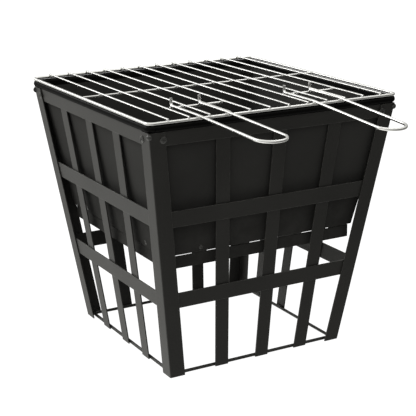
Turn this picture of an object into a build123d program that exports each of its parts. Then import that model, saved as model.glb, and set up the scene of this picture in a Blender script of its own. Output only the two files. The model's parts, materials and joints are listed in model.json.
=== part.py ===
"""Square garden fire pit with a lift-off grill grate.

A slatted steel shell tapers down to the ground and carries a sheet-steel firebox with a rolled rim.
A loose slotted plate is the firebox's floor, and a wire grate with two long handles rests on the rim.

Frame: +X to the right along the front, +Y to the back, +Z up, origin on the ground at the middle of
the shell. The handles reach out over the front, towards -Y. Lengths are in millimetres.
"""
import os
from math import cos, radians, sin, sqrt
from build123d import *

# Shell: posts, rails and slats of flat strip in four sloping sides
shell_height = 315.0
shell_top = 167.5           # half the width over the posts, at the top edge
shell_base = 122.8          # the same on the ground
strip = 20.0                # width of the posts' two leaves
gauge = 1.5                 # thickness of the posts, rails and slats
post_bend = 1.2             # outside radius of the posts' corner
rail_heights = {"top": (298.5, 315.0), "middle": (198.0, 218.0), "lower": (93.0, 113.0)}
rail_short = 8.0            # rails stop this far inside the shell's outer corner, behind the posts
slat_width = 18.0
slat_pitch_top = 78.0
slat_pitch_base = 57.5
slat_shift_top = 6.0        # the slats of each side stand this far off its centre line
slat_shift_base = 8.0
base_wire = 2.0             # radius of the wire that ties the feet of one side together
base_wire_gap = 0.1         # between the wire and the strips in front of it

# Firebox: four sloping walls, welded at the corners, with a rolled rim and a floor flange
wall_gauge = 1.2
wall_base = 158.0           # height of the walls' bottom edge
firebox_top = 161.5         # half the width over the walls, level with the shell's top edge
firebox_base = 132.2        # the same at the walls' bottom edge
rim_radius = 4.4            # outside radius of the rolled rim
rim_gap = 0.3               # between the shell's top edge and the rolled rim
rim_turn = 300.0            # how far round the rim is rolled, in degrees
rim_reach = 160.4           # half the length of each rolled rim, up to the elbows at the corners
elbow_gap = 0.3             # between an elbow's end and the front or back rim
flange_inner = 118.0        # half the opening between the floor flanges
mitre_gap = 1.5             # between the ends of two floor flanges
corner_gap = 0.1            # between two walls at a corner of the firebox

# Floor: a loose slotted plate on the flanges, and a band that hangs below them on tabs
floor_half = 125.5
floor_gauge = 1.5
floor_corner = 3.0
slot_length = 46.0
slot_width = 7.0
slot_pitch = (24.0, 70.0)
slot_count = (9, 3)
band_half = 130.0
band_corner = 2.5
band_base = 141.0
band_height = 15.0
tab_position = 85.0         # distance of each tab from the side's centre line
tab_width = 18.0
tab_heights = (146.0, 171.0)
tab_clearance = 0.05
notch_depth = 2.3           # notches for the tabs in the floor flanges
notch_side = 0.5

# Fasteners
screw_radius = 2.0
screw_hole_radius = 2.2
hole_reach = 20.0           # half the depth of each drilled cut
head_radius = 4.2
head_height = 1.9
recess_length = 4.6
recess_width = 1.1
recess_depth = 0.9
nut_radius = 4.0            # across the corners
nut_height = 3.0
nut_sides = 6
thread_clearance = 0.05
nut_clearance = 0.25
shank_rest = 1.0            # a screw's end stands out of its nut by this much
corner_screw_position = 149.0
corner_screw_height = 306.0
spacer_radius = 4.0
spacer_clearance = 0.3
tab_screw_height = 163.5
tab_screw_share = 0.7       # size of the tabs' screws and nuts, as a share of the corners' screws
cap_radius = 3.5            # dome on each top corner of the shell
cap_height = 2.6
cap_level = 310.5
cap_shank = 6.0
cap_clearance = 0.05

# Grate: a square wire rim, bars from front to back, cross wires and two handles
grate_half = 170.0          # half the width over the rim wire
rim_wire = 1.75             # wire radii
bar_wire = 1.25
brace_wire = 1.5
handle_wire = 1.75
grate_corner = 8.0
grate_clearance = 0.3       # between the rim wire and the rolled rim it rests on
wire_clearance = 0.05
bar_count = 12
bar_pitch = 26.2
bar_hook = 15.0             # how far round the rim wire each bar's end hooks, in degrees
cross_wire_y = 9.0
brace_y = -103.0
handle_centres = {"left": -88.3, "right": 66.0}
brace_reach = {"left": -39.3, "right": 117.9}   # each brace ends under this bar
handle_gap = 37.0           # between the two legs of a handle
handle_tip = -306.0         # outer end of the handles
tip_bend = 18.4             # inside the handle's rounded end
handle_drops = {"left": 4.5, "right": 9.7}      # how far each handle's tip hangs below its legs
stub_height = 9.0
stub_bend = 4.0
leg_bend = 60.0             # where the legs turn down outside the rim

sides = {"front": 0, "right": 90, "back": 180, "left": 270}
slat_turns = {"front": 1, "right": 1, "back": 1, "left": -1}    # which way the slats are shifted


def shell_half(height):
    """Half the shell's width over the posts at a height."""
    return shell_base + (shell_top - shell_base) * height / shell_height


def firebox_half(height):
    """Half the firebox's width over the walls at a height."""
    share = (height - wall_base) / (shell_height - wall_base)
    return firebox_base + (firebox_top - firebox_base) * share


def side_plane(half, across, height, angle=0):
    """Plane on the outer face of a side, with its normal pointing outwards."""
    slope = half(1) - half(0)
    return Plane(
        origin=Vector(across, -half(height), height).rotate(Axis.Z, angle),
        x_dir=Vector(1, 0, 0).rotate(Axis.Z, angle),
        z_dir=Vector(0, -1, -slope).rotate(Axis.Z, angle),
    )


def sheet(half, inset, thickness, outline, holes=()):
    """A flat sheet in the front side. The outline is its front view, as (across, height) points."""
    low = min(height for _, height in outline)
    high = max(height for _, height in outline)
    with BuildPart() as piece:
        with BuildSketch(Plane.YZ):
            with BuildLine():
                Polyline(
                    (inset - half(low), low),
                    (inset - half(high), high),
                    (inset + thickness - half(high), high),
                    (inset + thickness - half(low), low),
                    close=True,
                )
            make_face()
        extrude(amount=2 * shell_top, both=True)
        with BuildSketch(Plane.XZ):
            with BuildLine():
                Polyline(*outline, close=True)
            make_face()
        extrude(amount=2 * shell_top, both=True, mode=Mode.INTERSECT)
        for hole in holes:
            with BuildSketch(hole):
                Circle(screw_hole_radius)
            extrude(amount=hole_reach, both=True, mode=Mode.SUBTRACT)
    return piece.part


def band_outline(reach, low, high):
    """Outline of a level strip whose half length at a height is reach(height)."""
    return [(-reach(low), low), (reach(low), low), (reach(high), high), (-reach(high), high)]


def save(piece, name):
    """Name a finished piece and write its file."""
    piece.part.label = name
    export_step(piece.part, f"parts/{name}.step")


os.makedirs("parts", exist_ok=True)

corner_screws = [
    side_plane(shell_half, across, corner_screw_height)
    for across in (-corner_screw_position, corner_screw_position)
]
tab_screws = [
    side_plane(firebox_half, across, tab_screw_height) for across in (-tab_position, tab_position)
]

# ---------------------------------------------------------------- shell: corner posts


def corner_plane(angle):
    """Plane that touches the bent outer corner of a post, with its normal pointing outwards."""
    corner = sqrt(2) * (shell_half(cap_level) - post_bend) + post_bend + cap_clearance
    lean = sqrt(2) * (shell_half(1) - shell_half(0))
    return Plane(
        origin=Vector(0, -corner, cap_level).rotate(Axis.Z, angle - 45),
        z_dir=Vector(0, -1, -lean).rotate(Axis.Z, angle - 45),
    )


with BuildPart() as post:
    for height in (0, shell_height):
        corner = -shell_half(height)
        with BuildSketch(Plane.XY.offset(height)):
            with BuildLine():
                Polyline(
                    (corner, corner),
                    (corner + strip, corner),
                    (corner + strip, corner + gauge),
                    (corner + gauge, corner + gauge),
                    (corner + gauge, corner + strip),
                    (corner, corner + strip),
                    close=True,
                )
            make_face()
    loft(ruled=True)
    long_edges = post.edges().filter_by(lambda edge: edge.length > shell_height)
    fillet(long_edges.sort_by(lambda edge: edge.center().X + edge.center().Y)[0], post_bend)
    with BuildSketch(
        side_plane(shell_half, -corner_screw_position, corner_screw_height),
        side_plane(shell_half, corner_screw_position, corner_screw_height, 270),
    ):
        Circle(screw_hole_radius)
    extrude(amount=hole_reach, both=True, mode=Mode.SUBTRACT)
    with BuildSketch(corner_plane(0)):
        Circle(screw_hole_radius)
    extrude(amount=hole_reach, both=True, mode=Mode.SUBTRACT)

corners = {"front_left": 0, "front_right": 90, "back_right": 180, "back_left": 270}
for corner_name, angle in corners.items():
    with BuildPart() as corner_post:
        add(post.part, rotation=(0, 0, angle))
    save(corner_post, f"corner_post_{corner_name}")

# ---------------------------------------------------------------- shell: rails, slats, base wires
slat_inset = 2 * gauge
base_wire_line = shell_half(0) - slat_inset - gauge - base_wire - base_wire_gap
base_wire_start = -(shell_base - gauge - base_wire_gap)
base_wire_end = base_wire_line - base_wire - base_wire_gap


def rail_reach(height):
    """Half the length of a rail at a height."""
    return shell_half(height) - rail_short


def slat_outline(place, turn):
    """Front view of a slat, numbered -1, 0 or 1 from the side's left."""
    foot = place * slat_pitch_base + turn * slat_shift_base
    head = place * slat_pitch_top + turn * slat_shift_top
    half = slat_width / 2
    return [
        (foot - half, 0),
        (foot + half, 0),
        (head + half, shell_height),
        (head - half, shell_height),
    ]


for side, angle in sides.items():
    for level, (low, high) in rail_heights.items():
        holes = corner_screws if level == "top" else ()
        outline = band_outline(rail_reach, low, high)
        with BuildPart() as rail:
            add(sheet(shell_half, gauge, gauge, outline, holes), rotation=(0, 0, angle))
        save(rail, f"{level}_rail_{side}")

    for place, place_name in zip((-1, 0, 1), ("left", "middle", "right")):
        outline = slat_outline(place, slat_turns[side])
        with BuildPart() as slat:
            add(sheet(shell_half, slat_inset, gauge, outline), rotation=(0, 0, angle))
        save(slat, f"slat_{side}_{place_name}")

    with BuildPart() as base_bar:
        with BuildSketch(Plane.YZ.offset(base_wire_start)):
            with Locations((-base_wire_line, base_wire)):
                Circle(base_wire)
        extrude(amount=base_wire_end - base_wire_start)
    with BuildPart() as placed_bar:
        add(base_bar.part, rotation=(0, 0, angle))
    save(placed_bar, f"base_bar_{side}")

# ---------------------------------------------------------------- firebox: walls
rim_level = shell_height + rim_gap + rim_radius
rim_centre = firebox_half(rim_level) - wall_gauge + rim_radius


def rim_section(across):
    """Section of the front wall's rolled rim: a ring of sheet, open at the bottom."""
    inner = rim_radius - wall_gauge
    turn = radians(rim_turn)
    with BuildSketch(Plane.YZ.offset(across)) as section:
        with BuildLine():
            CenterArc((-rim_centre, rim_level), rim_radius, 0, rim_turn)
            Line(
                (rim_radius * cos(turn) - rim_centre, rim_radius * sin(turn) + rim_level),
                (inner * cos(turn) - rim_centre, inner * sin(turn) + rim_level),
            )
            CenterArc((-rim_centre, rim_level), inner, 0, rim_turn)
            Line((inner - rim_centre, rim_level), (rim_radius - rim_centre, rim_level))
        make_face()
    return section.sketch


def wall(end_gap, elbows):
    """The front wall. It stops end_gap short of the firebox's outer corners.

    With elbows, its rim turns both corners. Without them, it stops just short of its neighbours'.
    """
    def reach(height):
        return firebox_half(height) - end_gap

    outline = band_outline(reach, wall_base, rim_level)
    holes = corner_screws + tab_screws
    with BuildPart() as piece:
        add(sheet(firebox_half, 0, wall_gauge, outline, holes))
        extrude(rim_section(0), amount=rim_reach if elbows else rim_reach - elbow_gap, both=True)
        if elbows:
            for end, turn in ((-rim_reach, -90), (rim_reach, 90)):
                corner = Axis((end, -rim_reach, 0), (0, 0, 1))
                revolve(rim_section(end), axis=corner, revolution_arc=turn)
        with BuildSketch(Plane.XY.offset(wall_base)):
            with BuildLine():
                outer = firebox_base - wall_gauge / 2
                Polyline(
                    (mitre_gap - outer, -outer),
                    (outer - mitre_gap, -outer),
                    (flange_inner - mitre_gap, -flange_inner),
                    (mitre_gap - flange_inner, -flange_inner),
                    close=True,
                )
            make_face()
        extrude(amount=wall_gauge)
        for across in (-tab_position, tab_position):
            low = wall_base - wall_gauge
            half_notch = tab_width / 2 + notch_side
            notch = band_outline(lambda height: half_notch, low, wall_base + 2 * wall_gauge)
            outline = [(x + across, height) for x, height in notch]
            add(sheet(firebox_half, wall_gauge, notch_depth, outline), mode=Mode.SUBTRACT)
    return piece.part


end_gaps = {"front": wall_gauge + corner_gap, "back": wall_gauge + corner_gap, "left": 0, "right": 0}
for side, angle in sides.items():
    with BuildPart() as firebox_wall:
        add(wall(end_gaps[side], side in ("left", "right")), rotation=(0, 0, angle))
    save(firebox_wall, f"firebox_wall_{side}")

# ---------------------------------------------------------------- firebox: floor plate and band
floor_level = wall_base + wall_gauge
with BuildPart() as floor_plate:
    with BuildSketch(Plane.XY.offset(floor_level)):
        RectangleRounded(2 * floor_half, 2 * floor_half, floor_corner)
        with GridLocations(*slot_pitch, *slot_count):
            SlotOverall(slot_length, slot_width, rotation=90, mode=Mode.SUBTRACT)
    extrude(amount=floor_gauge)
save(floor_plate, "floor_plate")

with BuildPart() as floor_band:
    with BuildSketch(Plane.XY.offset(band_base)):
        RectangleRounded(2 * band_half, 2 * band_half, band_corner)
        inner = 2 * (band_half - gauge)
        RectangleRounded(inner, inner, band_corner - gauge, mode=Mode.SUBTRACT)
    extrude(amount=band_height)
    for angle in sides.values():
        for across, screw in zip((-tab_position, tab_position), tab_screws):
            tab = band_outline(lambda height: tab_width / 2, *tab_heights)
            outline = [(x + across, height) for x, height in tab]
            inset = wall_gauge + tab_clearance
            add(sheet(firebox_half, inset, gauge, outline, [screw]), rotation=(0, 0, angle))
save(floor_band, "floor_band")

# ---------------------------------------------------------------- fasteners


def dome(radius, edge, top):
    """Part of a circle from a head's edge to its top on the axis, where it is level."""
    rise = top - edge
    sphere = (radius ** 2 + rise ** 2) / (2 * rise)
    RadiusArc((radius, edge), (0, top), -sphere)


def screw(shank_length):
    """A pan-head screw on the z axis, with the underside of its head at z = 0."""
    head_edge = head_height / 3
    with BuildPart() as piece:
        with BuildSketch(Plane.XZ):
            with BuildLine():
                Polyline(
                    (0, head_height),
                    (0, -shank_length),
                    (screw_radius, -shank_length),
                    (screw_radius, 0),
                    (head_radius, 0),
                    (head_radius, head_edge),
                )
                dome(head_radius, head_edge, head_height)
            make_face()
        revolve(axis=Axis.Z)
        with BuildSketch(Plane.XY.offset(head_height)):
            Rectangle(recess_length, recess_width)
            Rectangle(recess_width, recess_length)
        extrude(amount=-recess_depth, mode=Mode.SUBTRACT)
    return piece.part


def ring(depth, height, radius):
    """A round spacer for a screw, on the z axis below z = -depth."""
    with BuildPart() as piece:
        with BuildSketch(Plane.XY.offset(-depth)):
            Circle(radius)
            Circle(screw_radius + thread_clearance, mode=Mode.SUBTRACT)
        extrude(amount=-height)
    return piece.part


def nut(depth):
    """A nut on the z axis below z = -depth."""
    with BuildPart() as piece:
        with BuildSketch(Plane.XY.offset(-depth)):
            RegularPolygon(nut_radius, nut_sides)
            Circle(screw_radius + thread_clearance, mode=Mode.SUBTRACT)
        extrude(amount=-nut_height)
    return piece.part


wall_gap = shell_half(corner_screw_height) - firebox_half(corner_screw_height)
spacer_height = wall_gap - slat_inset - spacer_clearance
corner_nut_depth = wall_gap + wall_gauge + nut_clearance
corner_planes = [
    side_plane(shell_half, across, corner_screw_height, angle)
    for angle in sides.values()
    for across in (-corner_screw_position, corner_screw_position)
]
tab_planes = [
    side_plane(firebox_half, across, tab_screw_height, angle).offset(tab_clearance)
    for angle in sides.values()
    for across in (-tab_position, tab_position)
]
tab_nut_depth = (gauge + wall_gauge + 3 * tab_clearance) / tab_screw_share

with BuildPart() as corner_bolts:
    with Locations(*corner_planes):
        add(screw(corner_nut_depth + nut_height + shank_rest))
save(corner_bolts, "corner_bolts")

with BuildPart() as corner_nuts:
    with Locations(*corner_planes):
        add(ring(slat_inset, spacer_height, spacer_radius))
        add(nut(corner_nut_depth))
save(corner_nuts, "corner_nuts")

with BuildPart() as tab_bolts:
    with Locations(*tab_planes):
        add(screw(tab_nut_depth + nut_height + shank_rest).scale(tab_screw_share))
save(tab_bolts, "tab_bolts")

with BuildPart() as tab_nuts:
    with Locations(*tab_planes):
        add(nut(tab_nut_depth).scale(tab_screw_share))
save(tab_nuts, "tab_nuts")

with BuildPart() as corner_cap:
    with BuildSketch(Plane.XZ):
        with BuildLine():
            Polyline(
                (0, cap_height),
                (0, -cap_shank),
                (screw_radius, -cap_shank),
                (screw_radius, 0),
                (cap_radius, 0),
            )
            dome(cap_radius, 0, cap_height)
        make_face()
    revolve(axis=Axis.Z)
with BuildPart() as corner_caps:
    with Locations(*[corner_plane(angle) for angle in corners.values()]):
        add(corner_cap.part)
save(corner_caps, "corner_caps")

# ---------------------------------------------------------------- grate
ring_half = grate_half - rim_wire
ring_offset = ring_half - rim_centre
ring_level = rim_level + sqrt((rim_radius + rim_wire + grate_clearance) ** 2 - ring_offset ** 2)
bar_level = ring_level + rim_wire + bar_wire + wire_clearance
under_bars = bar_level - bar_wire - wire_clearance
leg_level = ring_level + rim_wire + handle_wire + 2 * wire_clearance


def wire(path, radius):
    """A round wire along a path."""
    with BuildPart() as piece:
        with BuildSketch(Plane(origin=path @ 0, z_dir=path % 0)):
            Circle(radius)
        sweep(path=path)
    return piece.part


def straight_wire(start, end, radius):
    """A straight round wire between two points."""
    with BuildLine() as path:
        Line(start, end)
    return wire(path.wire(), radius)


with BuildSketch(Plane.XY.offset(ring_level)) as rim_outline:
    RectangleRounded(2 * ring_half, 2 * ring_half, grate_corner)
with BuildPart() as grate_rim:
    add(wire(rim_outline.sketch.face().outer_wire(), rim_wire))
save(grate_rim, "grate_rim")

hook_radius = bar_level - ring_level
for number in range(bar_count):
    across = (number - (bar_count - 1) / 2) * bar_pitch
    with BuildLine(Plane.YZ.offset(across)) as bar_path:
        CenterArc((-ring_half, ring_level), hook_radius, 90 + bar_hook, -bar_hook)
        Line((-ring_half, bar_level), (ring_half, bar_level))
        CenterArc((ring_half, ring_level), hook_radius, 90, -bar_hook)
    with BuildPart() as grate_bar:
        add(wire(bar_path.wire(), bar_wire))
    save(grate_bar, f"grate_bar_{number + 1:02d}")

cross_level = under_bars - bar_wire
cross_reach = ring_half - rim_wire
with BuildPart() as cross_wire:
    add(straight_wire(
        (-cross_reach, cross_wire_y, cross_level),
        (cross_reach, cross_wire_y, cross_level),
        bar_wire,
    ))
save(cross_wire, "cross_wire")

with BuildPart() as handle_braces:
    for side, centre in handle_centres.items():
        start = (centre - handle_gap / 2 - handle_wire, brace_y, under_bars - brace_wire)
        end = (brace_reach[side] + bar_wire, brace_y, under_bars - brace_wire)
        add(straight_wire(start, end, brace_wire))
save(handle_braces, "handle_braces")

for side, centre in handle_centres.items():
    left = centre - handle_gap / 2
    right = centre + handle_gap / 2
    tip = handle_tip + handle_wire
    tip_level = leg_level - handle_drops[side]
    stub_y = brace_y - brace_wire
    stub_top = leg_level + stub_height
    with BuildLine() as handle_path:
        FilletPolyline(
            (left, stub_y, stub_top),
            (left, stub_y, leg_level),
            (left, -ring_half, leg_level),
            (left, tip, tip_level),
            (right, tip, tip_level),
            (right, -ring_half, leg_level),
            (right, stub_y, leg_level),
            (right, stub_y, stub_top),
            radius=[stub_bend, leg_bend, tip_bend, tip_bend, leg_bend, stub_bend],
        )
    with BuildPart() as handle:
        add(wire(handle_path.wire(), handle_wire))
    save(handle, f"handle_{side}")
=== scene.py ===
"""Looks for the square fire pit: coated sheet steel, bright wire grate, weld beads, plain studio."""
import json
from math import cos, pi, radians, sin

import bmesh
import bpy
from mathutils import Matrix, Vector, noise


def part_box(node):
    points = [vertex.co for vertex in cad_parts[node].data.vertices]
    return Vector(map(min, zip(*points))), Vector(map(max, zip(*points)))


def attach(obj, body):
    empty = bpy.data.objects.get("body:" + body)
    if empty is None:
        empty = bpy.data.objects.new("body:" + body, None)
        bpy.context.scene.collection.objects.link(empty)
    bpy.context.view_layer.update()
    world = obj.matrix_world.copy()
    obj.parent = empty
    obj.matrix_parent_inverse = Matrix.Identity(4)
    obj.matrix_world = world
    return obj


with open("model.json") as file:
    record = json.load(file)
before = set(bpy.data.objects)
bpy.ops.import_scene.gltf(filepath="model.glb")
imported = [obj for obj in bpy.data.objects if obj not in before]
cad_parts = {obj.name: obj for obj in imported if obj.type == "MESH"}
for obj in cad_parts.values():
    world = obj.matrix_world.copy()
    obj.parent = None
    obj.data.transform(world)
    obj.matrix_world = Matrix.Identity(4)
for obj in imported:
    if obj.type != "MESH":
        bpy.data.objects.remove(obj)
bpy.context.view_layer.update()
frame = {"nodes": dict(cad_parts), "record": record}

# ---------------------------------------------------------------- values, in metres unless noted
VIEW_AZIMUTH = -29.4            # degrees, as are the next two
VIEW_ELEVATION = 16.32
VIEW_ROLL = -0.43
VIEW_DISTANCE = 1.51
VIEW_LENS = 101.4               # millimetres, as is the sensor
VIEW_SENSOR = 36.0
VIEW_TARGET = Vector((-0.008, -0.014, 0.1694))

FLOOR_SIZE = 16.0
FLOOR_GAP = 0.0002              # between the floor and the feet
FLOOR_COLOUR = (0.05, 0.05, 0.05, 1)
FLOOR_GLOW = 1.05               # emission strength
WALL_RADIUS = 7.9               # the white backdrop at the floor's edge
WALL_HEIGHT = 8.0
WALL_SIDES = 64

WORLD_COLOUR = (1, 0.995, 0.95, 1)
BRIGHT_SIDE = (-0.6, 0.8, 0)    # towards the bright side, at the back left
SIDE_EDGE = (-0.9, 0.9)         # a direction's dot product with it, where the glow is least and most
SIDE_GLOW = (0.115, 0.82)       # away from the bright side, and towards it
BOUNCE_EDGE = (-0.35, -0.75)    # a direction's z, between which the white floor's bounce light grows
BOUNCE_GLOW = (0.85, 2.0)       # multiplies the side's glow
DOME_EDGE = (0.2, 0.7)          # a direction's z, between which the light from above takes over
DOME_GLOW = 1.0
KEY_POWER = 30                  # watts
RIM_POWER = 2.5                 # for the two small lights that pick out the rolled rim and the wires

NUGGET_LUMP = 0.25              # share of a nugget's size
NUGGET_GRAIN = 1.6              # noise steps across a nugget's half size
NUGGET_SEEDS = (3.1, 1.7, 2.3)  # how far the noise moves from one seed to the next
NUGGET = (0.0019, 0.0013, 0.0009)       # half sizes along x, y and z
SMALL_NUGGET = (0.0014, 0.0014, 0.0007)
UPRIGHT_NUGGET = (0.0015, 0.0009, 0.0016)
BAR_COUNT = 12
BRACED_BARS = (2, 3, 4, 8, 9, 10)       # bars over a brace, counted from 0 at the left
BACK_SEED = 20                  # added to a nugget's number, so that no two on the grate look alike
CROSS_SEED = 40
BRACE_SEED = 60
LEG_SEED = 80
STUB_SEED = 90
BEAD_STEP = 0.0006
BEAD_RIPPLE = 0.0024            # length of one ripple
BEAD_RIPPLE_HEIGHT = 0.16       # share of the bead's radius, as are the next two
BEAD_LUMP = 0.3
BEAD_END = 0.35                 # radius at the bead's ends
BEAD_SWELL = 3                  # growth from there over one bead's width, up to the full radius
BEAD_GRAIN = 0.21               # noise steps from one ring to the next
BEAD_SEED = 5.3                 # how far the noise moves from one seed to the next
BEAD_SIDES = 10
SEAM_BASE = 0.1312              # the walls' inner faces at the bottom and top of the corner seams
SEAM_TOP = 0.1601
SEAM_HEIGHTS = (0.1594, 0.3145)
SEAM_RADIUS = 0.0014
FOOT_HEIGHT = 0.0005            # points of a slat below this are its end on the ground
BASE_WELD = 0.0055              # half the length of the welds at the slats' feet
BASE_WELD_RADIUS = 0.0009
BASE_WELD_OUT = 0.0014          # from the middle of the base wire
BASE_WELD_UP = 0.0016

# A SCALE is in noise steps per metre. Noise below a NOISE pair gives the least, and above it the most.
SHADE_NOISE = (0.35, 0.65)      # between a coat's two colours
SHEEN_NOISE = (0.3, 0.7)        # between its two roughnesses
CLOUD_SCALE = 9.0
EDGE_WIDTH = 0.0007
EDGE_FACING = (0.995, 0.9)      # cosine of the bevel's turn where the polish starts, and where it is full
# lighter colour on the edges: partly thin, worn coat, partly a painted highlight along the edges
EDGE_WEAR_AND_HIGHLIGHT_COLOUR = (0.15, 0.147, 0.138)
EDGE_POLISH = 0.1               # how much less rough a worn edge is
WEAR_SCALE = 140.0
WEAR_NOISE = (0.4, 0.6)
WEAR_LEAST = 0.25               # share of the polish that is left between the worn patches
PEEL_COARSE = 420.0             # orange peel, as scale and depth
PEEL_COARSE_DEPTH = 0.0005
PEEL_FINE = 1500.0
PEEL_FINE_DEPTH = 0.0001
SOOT_TOP = 0.26                 # no soot above this height, and the most from the base down
SOOT_BASE = 0.16
SOOT_SHARE = 0.4
SOOT_SCALE = 38.0
SOOT_NOISE = (0.42, 0.62)
SOOT_DULLING = 0.3              # how much rougher full soot is
SOOT_COLOUR = (0.022, 0.021, 0.020)
RIM_HEIGHTS = (0.3146, 0.3154)  # between these, the walls' coat turns into the rim's: painted shade and a clear gloss layer
# painted shade: the rolled rim is the walls' coat painted near-black, standing in for the shade under the
# wire
RIM_PAINTED_SHADE_COLOUR = (0.004, 0.004, 0.004)
RIM_ROUGHNESS = 0.08
RIM_GLOSS = 0.08                # weight of the clear layer on the rim

WIRE_CLOUD_SCALE = 30.0
WIRE_LOW = (0.78, 0.78, 0.77, 1)
WIRE_HIGH = (0.86, 0.86, 0.85, 1)
WIRE_ROUGHNESS = (0.16, 0.26)
WIRE_MARK_SCALE = 500.0
WIRE_MARK_STRENGTH = 0.03
WIRE_MARK_DEPTH = 0.0002


# ---------------------------------------------------------------- node helpers
class Nodes:
    """Adds and links shader nodes in one material."""

    def __init__(self, name):
        self.material = bpy.data.materials.new(name)
        self.material.use_nodes = True
        self.tree = self.material.node_tree
        self.shader = self.tree.nodes["Principled BSDF"]

    def add(self, kind, inputs=(), **settings):
        node = self.tree.nodes.new(kind)
        for key, value in settings.items():
            setattr(node, key, value)
        for key, value in dict(inputs).items():
            self.put(node.inputs[key], value)
        return node

    def put(self, socket, value):
        """Links an output to a socket, or sets its value."""
        if isinstance(value, bpy.types.NodeSocket):
            self.tree.links.new(value, socket)
        else:
            socket.default_value = value

    def place(self):
        """Position on the object, in metres."""
        return self.add("ShaderNodeTexCoord").outputs["Object"]

    def noise(self, scale, detail, roughness=0.55):
        values = {"Vector": self.place(), "Scale": scale, "Detail": detail, "Roughness": roughness}
        return self.add("ShaderNodeTexNoise", values).outputs["Fac"]

    def spread(self, value, low, high, out_low, out_high):
        """Maps low..high to out_low..out_high, and stops at both ends."""
        node = self.add("ShaderNodeMapRange", {
            "Value": value, "From Min": low, "From Max": high, "To Min": out_low, "To Max": out_high,
        })
        return node.outputs["Result"]

    def math(self, operation, first, second):
        node = self.add("ShaderNodeMath", operation=operation)
        self.put(node.inputs[0], first)
        self.put(node.inputs[1], second)
        return node.outputs[0]

    def mix(self, share, first, second):
        """Colour between first and second."""
        node = self.add("ShaderNodeMix", data_type="RGBA")
        self.put(node.inputs[0], share)
        self.put(node.inputs[6], first)
        self.put(node.inputs[7], second)
        return node.outputs[2]

    def bump(self, height, strength, distance, normal=None):
        values = {"Height": height, "Strength": strength, "Distance": distance}
        if normal:
            values["Normal"] = normal
        return self.add("ShaderNodeBump", values).outputs["Normal"]


def coat(name, low, high, rough, peel, shine=0.5, firebox=False):
    """Powder coat on sheet steel.

    It has orange peel at two scales, a sheen that varies a little, and edges where the coat is thin
    and polished, painted lighter, partly as worn coat and partly as a painted highlight. On the
    firebox, the rolled rim has painted shade, a near-black colour under a clear gloss layer, and soot
    dulls the coat lower down.
    """
    nodes = Nodes(name)
    cloud = nodes.noise(CLOUD_SCALE, detail=4.0)
    share = nodes.spread(cloud, *SHADE_NOISE, 0.0, 1.0)
    colour = nodes.mix(share, (*low, 1), (*high, 1))
    soft = nodes.add("ShaderNodeBevel", {"Radius": EDGE_WIDTH}, samples=4).outputs["Normal"]
    true = nodes.add("ShaderNodeNewGeometry").outputs["Normal"]
    facing = nodes.add("ShaderNodeVectorMath", operation="DOT_PRODUCT")
    nodes.put(facing.inputs[0], soft)
    nodes.put(facing.inputs[1], true)
    edge = nodes.spread(facing.outputs["Value"], *EDGE_FACING, 0.0, 1.0)
    worn = nodes.spread(nodes.noise(WEAR_SCALE, detail=3.0), *WEAR_NOISE, WEAR_LEAST, 1.0)
    wear_and_highlight = nodes.math("MULTIPLY", edge, worn)
    # edges painted lighter: partly worn coat, partly a painted highlight standing in for light caught along
    # them
    colour = nodes.mix(wear_and_highlight, colour, (*EDGE_WEAR_AND_HIGHLIGHT_COLOUR, 1))
    roughness = nodes.spread(cloud, *SHEEN_NOISE, *rough)
    if firebox:
        height = nodes.add("ShaderNodeSeparateXYZ", {"Vector": nodes.place()}).outputs["Z"]
        low_down = nodes.spread(height, SOOT_TOP, SOOT_BASE, 0.0, SOOT_SHARE)
        patch = nodes.spread(nodes.noise(SOOT_SCALE, detail=5.0, roughness=0.65), *SOOT_NOISE, 0.0, 1.0)
        soot = nodes.math("MULTIPLY", low_down, patch)
        colour = nodes.mix(soot, colour, (*SOOT_COLOUR, 1))
        roughness = nodes.math("ADD", roughness, nodes.math("MULTIPLY", soot, SOOT_DULLING))
        # painted shade: the rolled rim gets a near-black colour, under a clear gloss layer
        rim_shade_and_gloss = nodes.spread(height, *RIM_HEIGHTS, 0.0, 1.0)
        colour = nodes.mix(rim_shade_and_gloss, colour, (*RIM_PAINTED_SHADE_COLOUR, 1))
        nodes.put(nodes.shader.inputs["Coat Weight"], nodes.math("MULTIPLY", rim_shade_and_gloss, RIM_GLOSS))
        nodes.shader.inputs["Coat Roughness"].default_value = RIM_ROUGHNESS
    nodes.shader.inputs["Specular IOR Level"].default_value = shine
    nodes.put(nodes.shader.inputs["Base Color"], colour)
    polish = nodes.math("MULTIPLY", wear_and_highlight, EDGE_POLISH)
    nodes.put(nodes.shader.inputs["Roughness"], nodes.math("SUBTRACT", roughness, polish))
    coarse = nodes.bump(nodes.noise(PEEL_COARSE, detail=2.0), peel, PEEL_COARSE_DEPTH, soft)
    fine = nodes.bump(nodes.noise(PEEL_FINE, detail=2.0), peel, PEEL_FINE_DEPTH, coarse)
    nodes.put(nodes.shader.inputs["Normal"], fine)
    return nodes.material


def bright_wire():
    """Chrome-plated steel wire with faint drawing marks."""
    nodes = Nodes("bright_wire")
    nodes.shader.inputs["Metallic"].default_value = 1.0
    cloud = nodes.noise(WIRE_CLOUD_SCALE, detail=3.0)
    share = nodes.spread(cloud, *SHADE_NOISE, 0.0, 1.0)
    colour = nodes.mix(share, WIRE_LOW, WIRE_HIGH)
    nodes.put(nodes.shader.inputs["Base Color"], colour)
    roughness = nodes.spread(cloud, *SHEEN_NOISE, *WIRE_ROUGHNESS)
    nodes.put(nodes.shader.inputs["Roughness"], roughness)
    marks = nodes.noise(WIRE_MARK_SCALE, detail=2.0)
    nodes.put(nodes.shader.inputs["Normal"], nodes.bump(marks, WIRE_MARK_STRENGTH, WIRE_MARK_DEPTH))
    return nodes.material


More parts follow.
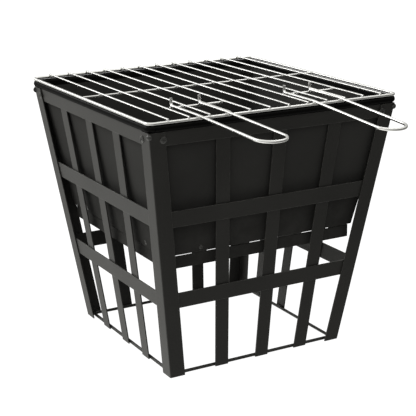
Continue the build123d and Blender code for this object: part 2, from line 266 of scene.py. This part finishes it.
materials = {
    "black_steel": coat(
        "black_steel", low=(0.0165, 0.0160, 0.0145), high=(0.0215, 0.0208, 0.0190),
        rough=(0.40, 0.5), peel=0.3,
    ),
    "firebox_steel": coat(
        "firebox_steel", low=(0.039, 0.0386, 0.0375), high=(0.047, 0.0465, 0.045),
        rough=(0.55, 0.66), peel=0.3, shine=0.01, firebox=True,
    ),
    "black_screws": coat(
        "black_screws", low=(0.03, 0.03, 0.03), high=(0.055, 0.055, 0.053),
        rough=(0.16, 0.26), peel=0.05,
    ),
    "bright_wire": bright_wire(),
}
slots = {entry["node"]: entry["material_slot"] for entry in frame["record"]["subparts"]}
for name, node in frame["nodes"].items():
    node.data.materials.clear()
    node.data.materials.append(materials[slots[name]])


# ---------------------------------------------------------------- welds
def nugget(shell, centre, size, seed):
    """Adds one bead of weld metal, slightly lumpy, with the given half sizes along x, y and z."""
    made = bmesh.ops.create_icosphere(shell, subdivisions=2, radius=1.0)
    offset = Vector([seed * step for step in NUGGET_SEEDS])
    for vertex in made["verts"]:
        lump = 1 + NUGGET_LUMP * noise.noise(vertex.co * NUGGET_GRAIN + offset)
        place = vertex.co * lump
        vertex.co = centre + Vector((place.x * size[0], place.y * size[1], place.z * size[2]))


def bead(shell, start, end, radius, seed):
    """Adds a run of weld from start to end, with the ripples that a torch leaves."""
    along = (end - start).normalized()
    side = along.orthogonal().normalized()
    other = along.cross(side)
    length = (end - start).length
    steps = max(4, round(length / BEAD_STEP))
    rings = []
    for step in range(steps + 1):
        share = step / steps
        ripple = 1 + BEAD_RIPPLE_HEIGHT * sin(2 * pi * length * share / BEAD_RIPPLE)
        lump = 1 + BEAD_LUMP * noise.noise(Vector((step * BEAD_GRAIN, seed * BEAD_SEED, 0.5)))
        close = min(1.0, BEAD_END + BEAD_SWELL * min(share, 1 - share) * length / (2 * radius))
        wide = radius * ripple * lump * close
        ring = []
        for spoke in range(BEAD_SIDES):
            turn = 2 * pi * spoke / BEAD_SIDES
            offset = side * cos(turn) + other * sin(turn)
            ring.append(shell.verts.new(start.lerp(end, share) + offset * wide))
        rings.append(ring)
    for first, second in zip(rings, rings[1:]):
        for spoke in range(BEAD_SIDES):
            near = (spoke + 1) % BEAD_SIDES
            shell.faces.new((first[spoke], first[near], second[near], second[spoke]))
    shell.faces.new(reversed(rings[0]))
    shell.faces.new(rings[-1])


def weld_piece(name, build, body, slot):
    """A mesh of weld metal in one body, filled by build(mesh)."""
    shell = bmesh.new()
    build(shell)
    bmesh.ops.recalc_face_normals(shell, faces=shell.faces)
    mesh = bpy.data.meshes.new(name)
    shell.to_mesh(mesh)
    shell.free()
    mesh.shade_smooth()
    piece = bpy.data.objects.new(name, mesh)
    bpy.context.scene.collection.objects.link(piece)
    mesh.materials.append(materials[slot])
    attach(piece, body)


def middle(node):
    """Middle of a CAD node's box."""
    low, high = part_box(node)
    return (low + high) / 2


bars = [f"grate_bar_{number:02d}" for number in range(1, BAR_COUNT + 1)]
rim_low, rim_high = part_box("grate_rim")
rim_wire = (rim_high.z - rim_low.z) / 2
cross_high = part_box("cross_wire")[1]
brace_low, brace_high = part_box("handle_braces")


def bar_welds(shell):
    """Every bar is welded to the rim at both ends, and to the cross wire and the braces below it."""
    brace = (brace_low + brace_high) / 2
    for number, bar in enumerate(bars):
        across = middle(bar).x
        for turn, line in enumerate((rim_low.y + rim_wire, rim_high.y - rim_wire)):
            nugget(shell, Vector((across, line, rim_high.z)), NUGGET, number + BACK_SEED * turn)
        cross = Vector((across, middle("cross_wire").y, cross_high.z))
        nugget(shell, cross, SMALL_NUGGET, number + CROSS_SEED)
        if number in BRACED_BARS:
            nugget(shell, Vector((across, brace.y, brace_high.z)), SMALL_NUGGET, number + BRACE_SEED)


def handle_welds(shell):
    """Both legs of a handle are welded to the rim, and their turned-up ends to the brace."""
    for seed, handle in enumerate(("handle_left", "handle_right")):
        low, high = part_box(handle)
        for turn, across in enumerate((low.x + rim_wire, high.x - rim_wire)):
            spot = seed * 2 + turn
            leg = Vector((across, rim_low.y + rim_wire, rim_high.z))
            stub = Vector((across, brace_low.y, brace_high.z))
            nugget(shell, leg, NUGGET, spot + LEG_SEED)
            nugget(shell, stub, UPRIGHT_NUGGET, spot + STUB_SEED)


def firebox_seams(shell):
    """A run of weld in each inside corner of the firebox."""
    for seed, (right, back) in enumerate(((-1, -1), (1, -1), (1, 1), (-1, 1))):
        start = Vector((right * SEAM_BASE, back * SEAM_BASE, SEAM_HEIGHTS[0]))
        end = Vector((right * SEAM_TOP, back * SEAM_TOP, SEAM_HEIGHTS[1]))
        bead(shell, start, end, SEAM_RADIUS, seed)


def foot(node):
    """Middle of a slat's end on the ground."""
    low = [vertex.co for vertex in frame["nodes"][node].data.vertices if vertex.co.z < FOOT_HEIGHT]
    return sum(low, Vector()) / len(low)


def base_welds(shell):
    """Each slat's foot is welded to the wire behind it, on both sides."""
    for side in ("front", "right", "back", "left"):
        wire = middle(f"base_bar_{side}")
        for seed, place in enumerate(("left", "middle", "right")):
            end = foot(f"slat_{side}_{place}")
            lengthwise = Vector((1, 0, 0)) if side in ("front", "back") else Vector((0, 1, 0))
            spot = Vector((end.x, wire.y, wire.z)) if lengthwise.x else Vector((wire.x, end.y, wire.z))
            inward = -spot.normalized()
            inward = Vector((0, inward.y, 0)) if lengthwise.x else Vector((inward.x, 0, 0))
            spot = spot - inward.normalized() * BASE_WELD_OUT + Vector((0, 0, BASE_WELD_UP))
            bead(shell, spot - lengthwise * BASE_WELD, spot + lengthwise * BASE_WELD, BASE_WELD_RADIUS, seed)


weld_piece("bar_welds", bar_welds, "grate", "bright_wire")
weld_piece("handle_welds", handle_welds, "grate", "bright_wire")
weld_piece("firebox_seams", firebox_seams, "shell", "firebox_steel")
weld_piece("base_welds", base_welds, "shell", "black_steel")


# ---------------------------------------------------------------- floor, light and camera
def floor_piece():
    """A plain white floor and backdrop that glow evenly, as in a cut-out product picture."""
    mesh = bpy.data.meshes.new("floor")
    half = FLOOR_SIZE / 2
    corners = [(-half, -half, 0), (half, -half, 0), (half, half, 0), (-half, half, 0)]
    mesh.from_pydata(corners, [], [(0, 1, 2, 3)])
    floor = bpy.data.objects.new("floor", mesh)
    bpy.context.scene.collection.objects.link(floor)
    floor.location.z = -FLOOR_GAP
    floor.visible_diffuse = False
    floor.visible_glossy = False
    nodes = Nodes("pale_floor")
    nodes.shader.inputs["Base Color"].default_value = FLOOR_COLOUR
    nodes.shader.inputs["Roughness"].default_value = 1.0
    nodes.shader.inputs["Emission Color"].default_value = (1, 1, 1, 1)
    nodes.shader.inputs["Emission Strength"].default_value = FLOOR_GLOW
    mesh.materials.append(nodes.material)
    backdrop_piece(nodes.material)


def backdrop_piece(material):
    """A round white wall at the floor's edge, seen by the camera but not lighting anything."""
    mesh = bpy.data.meshes.new("backdrop")
    turns = [2 * pi * step / WALL_SIDES for step in range(WALL_SIDES)]
    ring = [(WALL_RADIUS * cos(turn), WALL_RADIUS * sin(turn)) for turn in turns]
    corners = [(x, y, 0) for x, y in ring] + [(x, y, WALL_HEIGHT) for x, y in ring]
    faces = []
    for step in range(WALL_SIDES):
        near = (step + 1) % WALL_SIDES
        faces.append((step, near, near + WALL_SIDES, step + WALL_SIDES))
    mesh.from_pydata(corners, [], faces)
    mesh.materials.append(material)
    backdrop = bpy.data.objects.new("backdrop", mesh)
    bpy.context.scene.collection.objects.link(backdrop)
    backdrop.location.z = -FLOOR_GAP
    backdrop.visible_diffuse = False
    backdrop.visible_glossy = False
    backdrop.visible_shadow = False


def softbox(name, place, target, size, power):
    """A square area light at place that shines at target."""
    light = bpy.data.lights.new(name, "AREA")
    light.shape = "SQUARE"
    light.size = size
    light.energy = power
    box = bpy.data.objects.new(name, light)
    box.visible_camera = False
    box.location = place
    box.rotation_euler = (Vector(target) - Vector(place)).to_track_quat("-Z", "Y").to_euler()
    bpy.context.scene.collection.objects.link(box)


def studio_world():
    """Soft light all round: bright overhead, fair at the back left, dim at the front right.

    Low down it grows again, as light does that comes back off a white floor.
    """
    world = bpy.data.worlds.new("studio")
    world.use_nodes = True
    tree = world.node_tree
    link = tree.links.new
    place = tree.nodes.new("ShaderNodeTexCoord").outputs["Generated"]
    across = tree.nodes.new("ShaderNodeVectorMath")
    across.operation = "DOT_PRODUCT"
    link(place, across.inputs[0])
    across.inputs[1].default_value = BRIGHT_SIDE
    around = tree.nodes.new("ShaderNodeMapRange")
    link(across.outputs["Value"], around.inputs["Value"])
    for key, value in zip(("From Min", "From Max", "To Min", "To Max"), (*SIDE_EDGE, *SIDE_GLOW)):
        around.inputs[key].default_value = value
    split = tree.nodes.new("ShaderNodeSeparateXYZ")
    link(place, split.inputs[0])
    below = tree.nodes.new("ShaderNodeMapRange")
    link(split.outputs["Z"], below.inputs["Value"])
    for key, value in zip(("From Min", "From Max", "To Min", "To Max"), (*BOUNCE_EDGE, *BOUNCE_GLOW)):
        below.inputs[key].default_value = value
    side = tree.nodes.new("ShaderNodeMath")
    side.operation = "MULTIPLY"
    link(around.outputs["Result"], side.inputs[0])
    link(below.outputs["Result"], side.inputs[1])
    above = tree.nodes.new("ShaderNodeMapRange")
    above.interpolation_type = "SMOOTHSTEP"
    link(split.outputs["Z"], above.inputs["Value"])
    for key, value in zip(("From Min", "From Max", "To Min", "To Max"), (*DOME_EDGE, 0, 1)):
        above.inputs[key].default_value = value
    blend = tree.nodes.new("ShaderNodeMix")
    link(above.outputs["Result"], blend.inputs[0])
    link(side.outputs[0], blend.inputs[2])
    blend.inputs[3].default_value = DOME_GLOW
    background = tree.nodes["Background"]
    background.inputs["Color"].default_value = WORLD_COLOUR
    link(blend.outputs[0], background.inputs["Strength"])
    bpy.context.scene.world = world


def studio():
    """Floor, backdrop, lights and the look of the picture."""
    floor_piece()
    softbox("back_left_light", place=(-1.7, 1.5, 1.9), target=(-0.1, 0.1, 0.2), size=1.4, power=KEY_POWER)
    softbox("back_right_light", place=(1.2, 1.0, 2.0), target=(0.0, 0.0, 0.3), size=0.5, power=RIM_POWER)
    softbox("back_light", place=(-0.9, 2.1, 1.1), target=(0.0, 0.0, 0.3), size=0.4, power=RIM_POWER)
    studio_world()
    bpy.context.scene.view_settings.view_transform = "Standard"


def camera():
    """The camera, at the picture's viewing angle."""
    azimuth = radians(VIEW_AZIMUTH)
    elevation = radians(VIEW_ELEVATION)
    back = Vector((sin(azimuth) * cos(elevation), -cos(azimuth) * cos(elevation), sin(elevation)))
    data = bpy.data.cameras.new("camera")
    data.lens = VIEW_LENS
    data.sensor_width = VIEW_SENSOR
    view = bpy.data.objects.new("camera", data)
    view.location = VIEW_TARGET + back * VIEW_DISTANCE
    turn = back.to_track_quat("Z", "Y") @ Matrix.Rotation(radians(VIEW_ROLL), 3, "Z").to_quaternion()
    view.rotation_euler = turn.to_euler()
    bpy.context.scene.collection.objects.link(view)
    bpy.context.scene.camera = view


studio()
camera()
